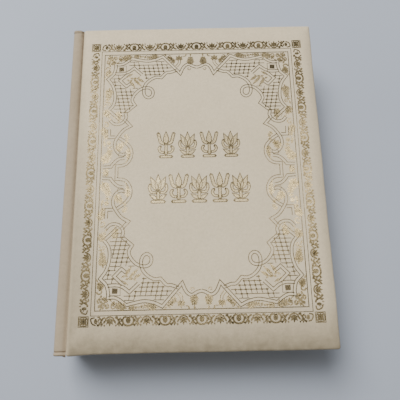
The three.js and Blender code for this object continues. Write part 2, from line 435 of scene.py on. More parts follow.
def frame_line(finish, half_width, half_height, line):
    """A share that is 1 on the outline of a rectangle printed in the middle of a page."""
    x, y = page_places(finish)
    outside = strongest(abs(x) - half_width, abs(y) - half_height)
    return abs(outside) < line / 2


def within(finish, half_width, half_height):
    """1 inside a rectangle in the middle of a page, else 0."""
    x, y = page_places(finish)
    return (abs(x) < half_width) * (abs(y) < half_height)


def page_lozenge(finish, middle, reach, line):
    """The outline of a lozenge on a page's middle line."""
    x, y = page_places(finish)
    return abs(abs(x) + abs(y - middle) - reach) < line / 2


def rules(finish, pitch, line):
    """Level lines over a whole page."""
    return page_places(finish)[1].math("PINGPONG", pitch) < line


def printed_paper(name, design, ink):
    """Book paper with a simple printed design, in one ink."""
    finish = paper(name, (0.80, 0.74, 0.61), (0.72, 0.65, 0.51), True)
    uneven = finish.noise(0.6, 3).rise(0.3, 0.7, 0.6, 0.95)
    finish.colour(finish.mix(strongest(*design(finish)) * uneven, finish.tone, ink))
    return finish.material


def presentation_design(finish):
    """A bordered page with a few lines left to be written on."""
    lozenges = [page_lozenge(finish, y, reach, 1.2) for y in (-92, 92) for reach in (4, 9)]
    return (
        frame_line(finish, 92, 124, 2.4),
        frame_line(finish, 88, 120, 0.6),
        rules(finish, 11, 0.35) * within(finish, 62, 68),
        *lozenges,
    )


def record_design(finish):
    """A page ruled for family names and dates, in two columns."""
    return (
        frame_line(finish, 90, 122, 0.8),
        frame_line(finish, 87, 119, 1.6),
        rules(finish, 6, 0.30) * within(finish, 82, 104),
        within(finish, 0.4, 108),
    )


def title_design(finish):
    """A page with a double frame and a nest of lozenges instead of words."""
    return (
        frame_line(finish, 84, 116, 1.2),
        frame_line(finish, 80, 112, 0.6),
        frame_line(finish, 52, 3, 0.7),
        page_lozenge(finish, -78, 9, 1.6),
        *[page_lozenge(finish, 34, reach, 1.4) for reach in (8, 16, 26)],
    )


def gilt_edge():
    """Gilded page edges, with the line of each thin leaf."""
    finish = Finish("gilt_edge", (0.72, 0.50, 0.20), 0.34, 1.0)
    leaves = finish.noise(0.16, 2, 0.5, (0.02, 0.02, 1))
    tone = leaves.ramp((0.3, (0.42, 0.27, 0.09)), (0.65, (0.80, 0.58, 0.25)))
    wear = finish.noise(9, 4, 0.6).rise(0.52, 0.75, 0.0, 0.45)
    finish.colour(finish.mix(wear, tone, (0.62, 0.50, 0.30)))
    finish.set("Roughness", finish.noise(4, 3).rise(0.3, 0.7, 0.28, 0.46))
    finish.relief((leaves, 0.6, 0.06))
    return finish.material


def gauze():
    """Stiffened open gauze: threads crossing at right angles, darker where they part."""
    finish = Finish("mull_gauze", (0.80, 0.78, 0.70), 0.95)
    weave = strongest(finish.waves(1.4, "Y"), finish.waves(1.4, "Z"))
    finish.colour(weave.ramp((0.35, (0.42, 0.34, 0.22)), (0.75, (0.84, 0.82, 0.75))))
    finish.relief((weave, 0.8, 0.15), (finish.noise(0.3, 2), 0.4, 0.05))
    return finish.material


def kraft():
    finish = Finish("kraft_paper", (0.38, 0.25, 0.13), 0.85)
    fibres = finish.noise(1.5, 5, 0.7, (1, 0.2, 1))
    finish.colour(fibres.ramp((0.3, (0.28, 0.18, 0.09)), (0.7, (0.46, 0.31, 0.17))))
    finish.relief((fibres, 0.4, 0.06))
    return finish.material


def thread():
    finish = Finish("sewing_thread", (0.86, 0.84, 0.76), 0.7)
    twist = finish.noise(0.25, 3)
    finish.colour(twist.ramp((0.3, (0.66, 0.62, 0.52)), (0.7, (0.90, 0.88, 0.81))))
    finish.set("Sheen Weight", 0.3)
    finish.relief((twist, 0.5, 0.05))
    return finish.material


def woven_band():
    """Headband cloth: rolled round a core, in stripes of cream and gold thread."""
    finish = Finish("headband_cloth", (0.75, 0.55, 0.20), 0.55)
    finish.use_leaf_places()
    stripes = finish.axis("X").math("PINGPONG", 1.0).math("GREATER_THAN", 0.5)
    colour = finish.mix(stripes, (0.86, 0.80, 0.66), (0.66, 0.42, 0.10))
    fray = finish.noise(0.5, 3).rise(0.35, 0.75, 0.0, 0.4)
    finish.colour(finish.mix(fray, colour, (0.50, 0.36, 0.16)))
    finish.set("Sheen Weight", 0.25)
    finish.relief((finish.noise(0.3, 2), 0.5, 0.05))
    return finish.material


def gold_foil(name, bright, dull, worn, embossed, metallic=1.0):
    """Stamped foil: darker and thinner in places, following the leather's grain."""
    finish = Finish(name, bright, 0.3, metallic)
    tone = finish.noise(18, 3).ramp((0.35, dull), (0.65, bright))
    rubbed = finish.noise(1.1, 3, 0.6).rise(0.56, 0.70, 0.0, 0.8)
    finish.colour(finish.mix(rubbed, tone, worn))
    finish.set("Roughness", finish.noise(2.5, 3).rise(0.3, 0.7, 0.20, 0.38))
    finish.relief(
        (finish.noise(6, 2), 0.3, 0.25),
        (finish.noise(1.6, 2), embossed, 0.16),
        (finish.cells(0.8), 0.3, 0.08),
    )
    return finish.material


# Meshes


def evenly(low, high, count):
    """Places from one end to the other in equal steps."""
    return [low + (high - low) * i / count for i in range(count + 1)]


def smooth_curve(points, steps=6):
    """A curve through points, with a few places on each stretch between two of them."""
    points = vectors(*points)
    if len(points) == 2:
        return points
    ends = [2 * points[0] - points[1], *points, 2 * points[-1] - points[-2]]
    curve = []
    for a, b, c, d in zip(ends, ends[1:], ends[2:], ends[3:]):
        for i in range(steps):
            t = i / steps
            pull = (2 * a - 5 * b + 4 * c - d) * t * t + (3 * b - a - 3 * c + d) * t ** 3
            curve.append(b + ((c - a) * t + pull) / 2)
    return curve + points[-1:]


def vectors(*points):
    return [Vector(p) for p in points]


def grid_faces(rows, columns, closed=False):
    """Quads over rows of points, which run on in the same order; closed joins each row's ends."""
    faces = []
    for r in range(rows - 1):
        for c in range(columns if closed else columns - 1):
            a = r * columns + c
            b = r * columns + (c + 1) % columns
            faces.append((a, b, b + columns, a + columns))
    return faces


def grid(us, vs, place):
    """A sheet over two lists of places, and its faces; place turns a pair of them into a point."""
    return [place(u, v) for v in vs for u in us], grid_faces(len(vs), len(us))


def flipped(faces):
    return [tuple(reversed(face)) for face in faces]


def shifted(faces, by):
    return [tuple(i + by for i in face) for face in faces]


def rim(ring, behind):
    """Quads between a closed ring of points and the ring behind it."""
    following = ring[1:] + ring[:1]
    return [(b, a, a + behind, b + behind) for a, b in zip(ring, following)]


def bmesh_of(points, faces):
    mesh = bmesh.new()
    corners = [mesh.verts.new(p) for p in points]
    mesh.verts.index_update()
    for face in faces:
        mesh.faces.new([corners[i] for i in face])
    return mesh


def thicken(points, faces, thickness):
    """A sheet made solid: a second face behind the first one, and a rim round its edge."""
    mesh = bmesh_of(points, faces)
    mesh.normal_update()
    count = len(points)
    behind = [tuple(v.co - v.normal * thickness) for v in mesh.verts]
    solid = faces + shifted(flipped(faces), count)
    for edge in mesh.edges:
        if len(edge.link_faces) == 1:
            loop = edge.link_loops[0]
            a = loop.vert.index
            b = loop.link_loop_next.vert.index
            solid.append((b, a, a + count, b + count))
    mesh.free()
    return [tuple(p) for p in points] + behind, solid


def outward(points, faces):
    """The same closed faces, turned to face outward."""
    mesh = bmesh_of(points, faces)
    bmesh.ops.recalc_face_normals(mesh, faces=mesh.faces)
    turned_faces = [tuple(v.index for v in face.verts) for face in mesh.faces]
    mesh.free()
    return turned_faces


def add_piece(name, points, faces, materials, crease=40):
    """A piece of the object, from points in millimetres."""
    mesh = bpy.data.meshes.new(name)
    mesh.from_pydata([tuple(c * MM for c in p) for p in points], [], faces)
    for material in materials:
        mesh.materials.append(material)
    mesh.polygons.foreach_set("use_smooth", [True] * len(mesh.polygons))
    mesh.set_sharp_from_angle(angle=math.radians(crease))
    piece = add_object(name, mesh)
    return piece


def map_flat(piece, along=0, across=1):
    """Gives each corner its own place in the sheet's plane, in metres, as its texture place."""
    layer = piece.data.uv_layers.new(name="flat")
    for loop in piece.data.loops:
        place = piece.data.vertices[loop.vertex_index].co
        layer.data[loop.index].uv = (place[along], place[across])


def tube(path, radius, sides):
    """A round tube along a path, with flat ends; radius is a function of the share along."""
    points = []
    count = len(path)
    for i, place in enumerate(path):
        ahead = (path[min(i + 1, count - 1)] - path[max(i - 1, 0)]).normalized()
        across = ahead.cross(Vector((0, 1, 0)) if abs(ahead.y) < 0.9 else Vector((1, 0, 0))).normalized()
        up = ahead.cross(across)
        for s in range(sides):
            spoke = turned(radius(i / (count - 1)), 0, 360 * s / sides)
            points.append(place + across * spoke.x + up * spoke.y)
    faces = flipped(grid_faces(count, sides, closed=True))
    faces.append(tuple(range(sides)))
    faces.append(tuple(reversed(range((count - 1) * sides, count * sides))))
    return points, outward(points, faces)


def turned(x, y, degrees):
    """A place turned anticlockwise round the origin."""
    c, s = math.cos(math.radians(degrees)), math.sin(math.radians(degrees))
    return Vector((x * c - y * s, x * s + y * c))


# The padded covers


def soft_least(a, b, sharpness):
    """The smaller of two distances, blended where they are alike."""
    return (max(a, 1e-4) ** -sharpness + max(b, 1e-4) ** -sharpness) ** (-1 / sharpness)


def edge_drop(x, y):
    """How far the rounded edges fall: steeply on three sides, and in a long roll beside the spine."""
    roll = max(0, 1 - (x - LEFT) / ROLL_WIDTH)
    side = max(0, 1 - (RIGHT - x) / EDGE_ROUND)
    end = max(0, 1 - (HALF - abs(y)) / EDGE_ROUND)
    out = min(1, math.sqrt(roll * roll + side * side + end * end))
    if out == 0:
        return 0
    depth = EDGE_ROUND + (ROLL_DEPTH - EDGE_ROUND) * roll / (roll + side + end)
    return depth * (1 - math.sqrt(1 - out * out))


def cover_height(x, y):
    """How far the padded cover's outer face stands from the book's middle."""
    from_side = min(x - LEFT, RIGHT - x)
    share = min(soft_least(from_side / MARGIN_X, (HALF - abs(y)) / MARGIN_Y, 3), 1)
    height = CROWN - MARGIN_FALL * (1 - share) ** 2
    swell = 0.10 * math.sin(x / 31 + 0.7) * math.sin(y / 37 + 1.9) + 0.05 * math.sin(x / 17 - y / 23) - 0.15
    return height + swell * share - edge_drop(x, y)


def spaced(low, high, step=5):
    """Places from one edge to the other, close together near the edges."""
    near = (0, 0.12, 0.4, 0.8, 1.35, CORNER, 3, 4.4, 6.2, 8.5, 11.5, 15)
    count = round((high - low - 2 * near[-1]) / step)
    middle = evenly(low + near[-1], high - near[-1], count)[1:-1]
    return [low + d for d in near] + middle + [high - d for d in reversed(near)]


def corner_place(x, y):
    """A place on the cover, moved in where the corner is round."""
    cx = min(max(x, LEFT + CORNER), RIGHT - CORNER)
    cy = min(max(y, -HALF + CORNER), HALF - CORNER)
    a = (x - cx) / CORNER
    b = (y - cy) / CORNER
    return cx + CORNER * a * math.sqrt(1 - b * b / 2), cy + CORNER * b * math.sqrt(1 - a * a / 2)


def hump(distance, width):
    """A smooth hump: 1 at no distance, and almost nothing beyond twice the width."""
    return math.exp(-(distance / width) ** 2)


def worn_edge(x, y):
    """The small unevenness of a hand-turned edge, and the flared corner at the joint's tail end."""
    side = (0.16 * math.sin(y / 19 + 0.4) + 0.08 * math.sin(y / 6.3)) * hump(RIGHT - x, 9)
    end = 0.16 * math.sin(x / 23 + 1.1) * hump(HALF - abs(y), 9)
    flare = -1.3 * hump(x - LEFT, 16) * hump(y + HALF, 7)
    return x + side, y + math.copysign(end, y) + flare


def boundary_of(columns, rows):
    """The grid's edge points in order, anticlockwise."""
    bottom = [(i, 0) for i in range(columns)]
    right = [(columns - 1, j) for j in range(1, rows)]
    top = [(i, rows - 1) for i in range(columns - 2, -1, -1)]
    left = [(0, j) for j in range(rows - 2, 0, -1)]
    return [j * columns + i for i, j in bottom + right + top + left]


def drawn_in(place, inset):
    """An edge place of the cover moved inward by the same margin on three sides."""
    low = LEFT + min(inset, WRAP - 0.1)
    share = (place[0] - LEFT) / (RIGHT - LEFT)
    return low + share * (RIGHT - inset - low), place[1] * (HALF - inset) / HALF


def placed(points, side):
    """Points given by their height above the book's middle, put on the front or the back cover."""
    return [(x, y, MIDDLE + side * height) for x, y, height in points]


def facing(faces, side):
    return faces if side > 0 else flipped(faces)


def outer_place(x, y):
    return (*worn_edge(*corner_place(x, y)), cover_height(x, y))


def cover_sheet():
    """The covering of one board as a sheet: its outer face, its edges and the turned-in margins."""
    xs = spaced(LEFT, RIGHT)
    ys = spaced(-HALF, HALF)
    points, faces = grid(xs, ys, outer_place)
    last = boundary_of(len(xs), len(ys))
    edge = [points[i] for i in last]
    rounding = ((0, 1.5), (0.25, 0.6), (0.9, 0.1), (2.2, 0), (6, 0), (10.5, 0), (TURN_IN, 0))
    for inset, above in rounding:
        here = list(range(len(points), len(points) + len(edge)))
        points += [(*drawn_in(place, inset), UNDERSIDE + above) for place in edge]
        for i, j in zip(range(len(edge)), [*range(1, len(edge)), 0]):
            faces.append((last[i], here[i], here[j], last[j]))
        last = here
    return points, faces


def add_cover_skins(material):
    for name, side in SIDES.items():
        points, faces = cover_sheet()
        points, faces = thicken(placed(points, side), facing(faces, side), SKIN)
        skin = add_piece(f"{name}_cover_skin", points, faces, [material], 60)
        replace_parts(skin, f"{name}_cover_leather")
        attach(skin, f"{name}_cover")


GLUE_GAP = 0.6
THINNEST_FOAM = 0.4


def add_foam_pads(material):
    """The foam sheets: crowned above, flat where they are glued to the boards."""
    for name, side in SIDES.items():
        low, high = box_mm(f"{name}_padding")
        base = min(abs(low.z - MIDDLE), abs(high.z - MIDDLE))
        xs = spaced(low.x, high.x, 8)
        ys = spaced(low.y, high.y, 8)

        def top_place(x, y):
            return (*corner_place(x, y), max(cover_height(x, y) - SKIN - GLUE_GAP, base + THINNEST_FOAM))

        top, faces = grid(xs, ys, top_place)
        points = placed(top + [(*place[:2], base) for place in top], side)
        faces += shifted(flipped(faces), len(top)) + rim(boundary_of(len(xs), len(ys)), len(top))
        pad = add_piece(f"{name}_foam_pad", points, facing(faces, side), [material])
        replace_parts(pad, f"{name}_padding")
        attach(pad, f"{name}_cover")


# The spine and the joints


def spine_x(height, depth=0.0):
    """The spine's outer face, or a face at a depth behind it, at a height from the book's middle."""
    return SPINE_LOW.x + depth + SPINE_BULGE * (height / SPINE_HALF) ** 2


def spine_outline():
    """The covering's run from the spine's middle line, over the shoulder, to the groove by the board."""
    rounded = [Vector((spine_x(h), h)) for h in evenly(0, 18, 12)]
    over = [
        (spine_x(19.5), 19.5), (spine_x(21.3), 21.3), (-112.7, 23.2), (-111.9, 24.7), (-110.4, 25.6),
        (-108.6, 25.8), (-106.6, 25.5), (-105.2, 25.0), (-104.2, 24.3), (-103.4, 23.7), (-102.7, 23.4),
    ]
    return rounded + smooth_curve(over, 4)


def spine_rows():
    """Places along the spine, and how far in the covering lies there: it rolls in at both ends."""
    flap = [(y, FLAP_DEPTH) for y in (128, 138, 145, 147.8)]
    end = flap + [
        (149.0, 2.5), (149.7, 2.0), (150.0, 1.3), (149.9, 0.6), (149.5, 0.05), (148.9, -0.3), (148.2, -0.3),
        (147.7, 0.05), (147.3, 0.55), (146.9, 0.6), (146.4, 0.2), (145.6, 0.0), (144.0, 0.0),
    ]
    body = [(y, 0.0) for y in evenly(144.0, -144.0, 44)[1:-1]]
    return end + body + [(-y, depth) for y, depth in reversed(end)]


def end_shift(x, y):
    """The spine's ends are round at its outer face, and each joint ends in a small fold at the tail."""
    near_end = min(1, max(0, (abs(y) - 140) / 8))
    rounding = 2.0 * max(0, (-113.0 - x) / 4.5) ** 2 * near_end
    tip = -1.0 * hump(x + 103.4, 1.5) * min(1, max(0, (-146 - y) / 3))
    return tip - math.copysign(rounding, y)


def add_joint_skins(material):
    """The covering from the spine's middle line to each board, made as two halves, one on each side of the
    middle line.
    """
    outline = spine_outline()
    last = len(outline) - 1
    normals = [Vector((1, 0))]
    for i in range(1, last + 1):
        ahead = (outline[min(i + 1, last)] - outline[i - 1]).normalized()
        normals.append(Vector((ahead.y, -ahead.x)))

    def place(i, row):
        y, depth = row
        slack = 1 - 0.6 * max(0, (outline[i].x + 108) / 5)
        inner = outline[i] + normals[i] * depth * min(1, slack)
        sag = 0.10 * math.sin(y / 13 + 0.5) * max(0, (inner.x + 112) / 8)
        return inner.x, y + end_shift(inner.x, y), inner.y + sag

    points, faces = grid(range(last + 1), spine_rows(), place)
    faces = flipped(faces)
    for name, side in SIDES.items():
        skin_points, skin_faces = thicken(placed(points, side), facing(faces, side), SKIN)
        skin = add_piece(f"{name}_joint_skin", skin_points, skin_faces, [material], 60)
        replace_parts(skin, "spine_cover_leather")
        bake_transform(skin)


def spine_arc(depth, low, high, count):
    """Points on a curve that runs parallel to the spine, between two heights of the frame."""
    return [Vector((spine_x(z - MIDDLE, depth), 0, z)) for z in evenly(low, high, count)]


def add_mull(material):
    """The gauze glued over the folds, with a slightly wavy surface."""
    low, high = box_mm("mull")
    depth = high.x - spine_x(max(abs(low.z - MIDDLE), abs(high.z - MIDDLE))) - 0.2
    arc = spine_arc(depth, low.z, high.z, 24)
    count = 140
    thickness = 0.15

    def place(j, i):
        ripple = 0.03 * math.sin(i * 1.7) * math.cos(j * 1.9)
        return arc[j].x + ripple, low.y + (high.y - low.y) * i / count, arc[j].z

    points, faces = thicken(*grid(range(len(arc)), range(count + 1), place), thickness)
    mull = add_piece("mull_gauze", points, outward(points, faces), [material])
    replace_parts(mull, "mull")
    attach(mull, "text_block")


PLY = 0.13  # radius
TWIST_DEEP = 0.10  # how far a ply swings from the thread's middle, towards the folds and along the spine
TWIST_WIDE = 0.14
THREAD_GAP = 0.35  # from the station's middle to each of its two threads


def add_threads(material):
    """At each station two threads along the folds, each of two plies twisted together."""
    for station in range(1, 7):
        node = f"sewing_thread_{station}"
        low, high = box_mm(node)
        y = (low.y + high.y) / 2
        arc = spine_arc(low.x - spine_x(0) + 0.15, low.z, high.z, 150)
        points = []
        faces = []
        for run in (-THREAD_GAP, THREAD_GAP):
            for twist in (0, math.pi):
                path = []
                for i, place in enumerate(arc):
                    angle = twist + i * 0.55
                    swing = (math.cos(angle) * TWIST_DEEP, y + run + math.sin(angle) * TWIST_WIDE, 0)
                    path.append(place + Vector(swing))
                ring, skin = tube(path, lambda share: PLY, 6)
                faces += shifted(skin, len(points))
                points += ring
        piece = add_piece(f"twisted_thread_{station}", points, faces, [material])
        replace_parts(piece, node)
        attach(piece, "text_block")


def add_headbands(material):
    """Each band is rolled cloth, nipped in between its stripes."""
    steps = 190
    for node in ("head_band", "tail_band"):
        low, high = box_mm(node)
        radius = (high.y - low.y) / 2
        arc = spine_arc(low.x + radius - spine_x(0), low.z + radius * 0.3, high.z - radius * 0.3, steps)
        path = [place + Vector((0, low.y + radius, 0)) for place in arc]

        def nipped(share):
            return radius * (0.93 - 0.07 * math.cos(share * steps * math.pi / 2.5))

        points, faces = tube(path, nipped, 12)
        band = add_piece(f"{node}_cloth", points, faces, [material])
        map_flat(band, 2, 0)
        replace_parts(band, node)
        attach(band, "text_block")


# Pages

LEAVES_IN_SECTION = 8


def section_mesh(low, high, chance):
    """One gathering: thin leaves with a round fold at the spine and slightly uneven edges."""
    pitch = (high.z - low.z) / LEAVES_IN_SECTION
    points = []
    faces = []
    for leaf in range(LEAVES_IN_SECTION):
        bottom = low.z + leaf * pitch + 0.01
        top = bottom + pitch - 0.02
        rounding = 2 * (leaf + 0.5) / LEAVES_IN_SECTION - 1
        fold = low.x + 0.9 * (1 - math.sqrt(1 - rounding * rounding))
        fore = high.x - chance.uniform(0, 0.30)
        tail = low.y + chance.uniform(0, 0.25)
        head = high.y - chance.uniform(0, 0.25)
        edge = [(fore - chance.uniform(0, 0.10), y) for y in evenly(tail, head, 7)]
        outline = [(fold, tail), *edge, (fold, head)]
        start = len(points)
        count = len(outline)
        points += [(x, y, z) for z in (bottom, top) for x, y in outline]
        ring = tuple(range(start, start + count))
        faces += [ring[::-1], *shifted([ring], count), *flipped(rim(list(ring), count))]
    return points, faces


def add_sections(page, gilt):
    chance = random.Random(11)
    nodes = sorted(name for name in frame["nodes"] if name.startswith("section_"))
    for node in nodes:
        low, high = box_mm(node)
        points, faces = section_mesh(low, high, chance)
        piece = add_piece(node.replace("section", "gathering"), points, faces, [page, gilt])
        for face in piece.data.polygons:
            if abs(face.normal.z) < 0.5 and face.normal.x > -0.5:
                face.material_index = 1
        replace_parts(piece, node)
        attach(piece, "text_block")


FINE_GUTTER = 12  # the width with closely spaced points


def add_leaf(node, material):
    """A loose leaf: a thin flat sheet, with its points close together near the gutter."""
    low, high = box_mm(node)
    middle = (low.z + high.z) / 2
    thickness = 0.16
    gutter = evenly(low.x, low.x + FINE_GUTTER, 15)

    def place(x, y):
        ripple = 0.03 * math.sin(x / 21 + y / 34) * math.sin(y / 27)
        return x, y, middle + thickness / 2 + ripple

    xs = gutter + evenly(gutter[-1], high.x, 30)[1:]
    points, faces = thicken(*grid(xs, evenly(low.y, high.y, 36), place), thickness)
    leaf = add_piece(f"{node}_sheet", points, faces, [material])
    map_flat(leaf)
    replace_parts(leaf, node)
    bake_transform(leaf)


ENDPAPER = 0.14  # thickness


def add_endpaper_hinges(material):
    """The endpaper's fold across each joint, from the pastedown to the gutter."""
    left = HINGE.x + 1.6
    right = PASTE_LOW.x - 0.1
    height = PASTE_LOW.z - MIDDLE + 0.17
    xs = evenly(left, right, 10)
    ys = evenly(PASTE_LOW.y, PASTE_HIGH.y, 40)
    for name, side in SIDES.items():
        points, faces = grid(xs, ys, lambda x, y: (x, y, height))
        points, faces = thicken(placed(points, side), facing(faces, side), ENDPAPER)
        fold = add_piece(f"{name}_endpaper_fold", points, faces, [material])
        map_flat(fold)
        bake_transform(fold)


# Gold ornament. Its measures run from the middle of the ornament, to the fore edge and to the head.
# The design is fourfold, so most of it is drawn for one quarter and mirrored.

FOIL_LIFT = 0.05
FOIL_ROOT = 0.12
LINE = 0.68
FLEURON_DOT = 0.9
FLEURON_LINE_LIFT = 0.09
STRAP = 1.25  # from a strap's middle to each of its two lines
PITCH = 14.8  # from one border motif to the next
BORDER_X = 91.6  # the border's inner edge
BORDER_Y = 121.6
RULES = ((86.6, 117.0, 0.72), (89.6, 120.8, 0.55))  # half width, half height, line


class Gilding:
    """One piece of raised foil on the front cover, made of closed ribbons and patches."""

    def __init__(self, lift=FOIL_LIFT):
        self.points = []
        self.faces = []
        self.lift = lift
        self.flip = (1, 1)
        self.at(0, 0)

    def at(self, x, y, degrees=0.0, size=1.0):
        """What is drawn next starts from this place, turned anticlockwise."""
        self.origin = Vector((x, y))
        self.turn = degrees
        self.size = size
        return self

    def add(self, outline, faces):
        """Takes in new faces over points that are each a place and a lift."""
        self.faces += shifted(faces, len(self.points))
        for place, lift in outline:
            spot = self.origin + turned(*place, self.turn) * self.size
            x = GOLD.x + self.flip[0] * spot.x
            y = GOLD.y + self.flip[1] * spot.y
            self.points.append((x, y, MIDDLE + cover_height(x, y) + lift))

    def patch(self, outline):
        """A filled patch inside an anticlockwise outline."""
        if self.flip[0] * self.flip[1] < 0:
            outline = outline[::-1]
        ring = list(range(len(outline)))
        faces = [tuple(ring), *shifted([ring[::-1]], len(ring)), *rim(ring, len(ring))]
        self.add([(p, lift) for lift in (self.lift, -FOIL_ROOT) for p in outline], faces)

    def ribbon(self, path, width=LINE, taper=0.0):
        """A line of foil along a path; taper thins it towards its end."""
        last = len(path) - 1
        points = []
        for i, (place, across) in enumerate(zip(path, mitres(path, 2.5))):
            reach = across * width / 2 * (1 - taper * i / last) * self.flip[0] * self.flip[1]
            left, right = place + reach, place - reach
            points += [(left, self.lift), (right, self.lift), (right, -FOIL_ROOT), (left, -FOIL_ROOT)]
        ends = [(3, 2, 1, 0), *shifted([(0, 1, 2, 3)], 4 * last)]
        self.add(points, grid_faces(last + 1, 4, closed=True) + ends)

    def curve(self, points, width=LINE, taper=0.0, steps=5):
        self.ribbon(smooth_curve(points, steps), width, taper)

    def leaf(self, x, y, degrees, length, width):
        self.patch(leaf_outline(x, y, degrees, length, width))

    def leaves(self, *rows):
        """Pairs of leaves that lean out from the line x = 0: place, lean, length and width of each pair."""
        for x, y, lean, length, width in rows:
            for side in (-1, 1):
                self.leaf(side * x, y, 90 - side * lean, length, width)

    def bead(self, x, y, radius, tall=1.0):
        spokes = [turned(radius, 0, 36 * i) for i in range(10)]
        self.patch([(x + spoke.x, y + spoke.y * tall) for spoke in spokes])

    def fan(self, x, y, degrees, length, petals, spread, width):
        """A palmette: leaves that spread from one point, the middle one longest."""
        for share in evenly(-1, 1, petals - 1):
            reach = length * (1 - 0.3 * share * share)
            self.leaf(x, y, degrees + share * spread / 2, reach, width)

    def curl(self, x, y, radius, start, sweep, width):
        """A spiral that winds inward round a point; a positive sweep is anticlockwise."""
        shares = evenly(0, 1, max(8, round(abs(sweep) / 28)))
        path = [Vector((x, y)) + turned(radius * (1 - 0.75 * t), 0, start + sweep * t) for t in shares]
        self.ribbon(path, width, 0.3)

    def spray(self, points, leaf, pairs, width):
        """A stem with leaves in pairs that grow smaller towards its tip."""
        stem = smooth_curve(points, 6)
        self.ribbon(stem, width, 0.5)
        last = len(stem) - 1

        def grow(k, tilt, length, leaf_width):
            ahead = stem[min(k + 1, last)] - stem[max(k - 1, 0)]
            angle = math.degrees(math.atan2(ahead.y, ahead.x))
            self.leaf(*stem[k], angle + tilt, length, leaf_width)

        for i in range(pairs):
            size = leaf * (1 - 0.55 * i / pairs)
            for side in (-1, 1):
                grow(round(last * (0.12 + 0.80 * i / pairs)), side * 52, size, size * 0.5)
        grow(last, 0, leaf * 0.7, leaf * 0.32)

    def strap(self, *runs):
        """Two lines side by side along runs of points; the runs meet at corners."""
        path = joined(runs, 1)
        for side in (-1, 1):
            self.ribbon(beside(path, side * STRAP))

    def make(self, name, material):
        piece = add_piece(name, self.points, self.faces, [material], 30)
        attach(piece, "front_cover")
        return piece


def leaf_outline(x, y, degrees, length, width):
    """The outline of a pointed leaf, widest a third of the way along."""
    shape = ((0.08, 0.45), (0.25, 0.92), (0.45, 1.0), (0.7, 0.62), (0.88, 0.25))
    lower = [(length * along, -width / 2 * out) for along, out in shape]
    upper = [(a, -b) for a, b in reversed(lower)]
    return [Vector((x, y)) + turned(a, b, degrees) for a, b in [(0, 0), *lower, (length, 0), *upper]]


def mitres(path, limit):
    """At each place of a path the way to its left, longer at corners so that lines keep their width."""
    found = []
    for i, place in enumerate(path):
        before = (place - path[i - 1] if i else path[1] - place).normalized()
        after = (path[i + 1] - place).normalized() if i < len(path) - 1 else before
        left = Vector((-before.y, before.x))
        across = left + Vector((-after.y, after.x))
        across = (across if across.length > 1e-6 else left).normalized()
        found.append(across * min(1 / max(across.dot(left), 0.3), limit))
    return found


def beside(path, distance):
    """A path that runs beside another at a distance, with pointed corners."""
    return [place + across * distance for place, across in zip(path, mitres(path, 2.2))]


def joined(runs, skip=0):
    """Smooth runs of points, end to end; skip leaves out the first places of all but the first run."""
    path = []
    for run in runs:
        path += smooth_curve(run)[skip if path else 0:]
    return path


# The straps that frame the title panel, each a run of points between corners

OUTER_STRAP = (
    ((0, 102.6), (3.4, 103.6), (8.0, 105.8), (12.3, 103.1), (15.6, 96.2)),
    ((15.6, 96.2), (31.9, 114.4)),
    ((31.9, 114.4), (38.6, 111.4), (46.2, 110.0), (54.0, 111.2), (61.2, 112.9)),
    ((61.2, 112.9), (67.2, 108.4), (71.4, 106.7), (76.2, 106.9)),
    ((76.2, 106.9), (76.1, 103.3), (77.9, 96.8), (83.0, 91.5)),
    ((83.0, 91.5), (78.6, 85.2), (76.4, 78.0), (76.0, 70.5), (77.6, 64.4), (81.2, 59.8)),
    ((81.2, 59.8), (70.1, 49.4)),
)
INNER_STRAP = (
    ((18.6, 99.8), (24.6, 97.7), (28.6, 97.2), (33.4, 92.2)),
    ((33.4, 92.2), (38.2, 92.6), (43.4, 90.2), (47.4, 86.2), (49.4, 81.4), (49.3, 76.0), (47.4, 72.8),
     (44.6, 71.9), (41.9, 73.6), (41.0, 77.0), (42.4, 80.4), (45.8, 82.0), (50.6, 81.4), (55.2, 78.6),
     (58.9, 73.8), (60.0, 69.2), (57.4, 64.4)),
    ((57.4, 64.4), (66.0, 57.0)),
    ((66.0, 57.0), (65.2, 52.4), (67.6, 48.0), (71.9, 46.0), (76.5, 46.6), (80.2, 50.4)),
)
SIDE_STRAP = (
    ((66.4, 50.2), (61.0, 43.9)),
    ((61.0, 43.9), (67.3, 40.0), (72.3, 33.4), (74.6, 28.0), (74.2, 22.6), (71.6, 18.4), (68.0, 16.6),
     (64.6, 17.4)),
)
LOBE = (
    ((71.2, 32.6), (65.7, 28.7), (61.0, 23.4), (59.6, 18.2), (60.3, 13.3), (63.0, 8.9), (66.8, 6.6),
     (72.4, 6.0)),
    ((72.4, 6.0), (72.4, 0)),
)
STAR = (((65.8, 13.4), (70.4, 12.6), (74.4, 9.6), (77.6, 5.4)), ((77.6, 5.4), (84.8, 5.0)))
BRACKET = (((74.6, 33.4), (80.0, 33.4)), ((80.0, 33.4), (80.2, 41.0)))
TIE = (((51.4, 95.6), (58.8, 102.6)), ((58.8, 102.6), (64.2, 98.6), (69.6, 97.0), (76.8, 97.2)))
PANEL = (((64.4, 96.6), (71.6, 89.8)), ((71.6, 89.8), (65.8, 83.8)), ((65.8, 83.8), (60.2, 88.2)))


def draw_straps(foil):
    for strap in (OUTER_STRAP, INNER_STRAP, SIDE_STRAP, LOBE, STAR, BRACKET, TIE, PANEL):
        foil.strap(*strap)
    foil.curl(69.2, 17.0, 4.2, 150, 300, 0.5)
    foil.curve([(66.4, 97.0), (66.2, 105.2), (74.4, 105.2)], 0.4, 0, 1)
    foil.patch([(68.3, 99.6), (72.9, 99.2), (73.0, 103.6), (68.6, 103.8)])


# The lattice between the outer and the inner strap

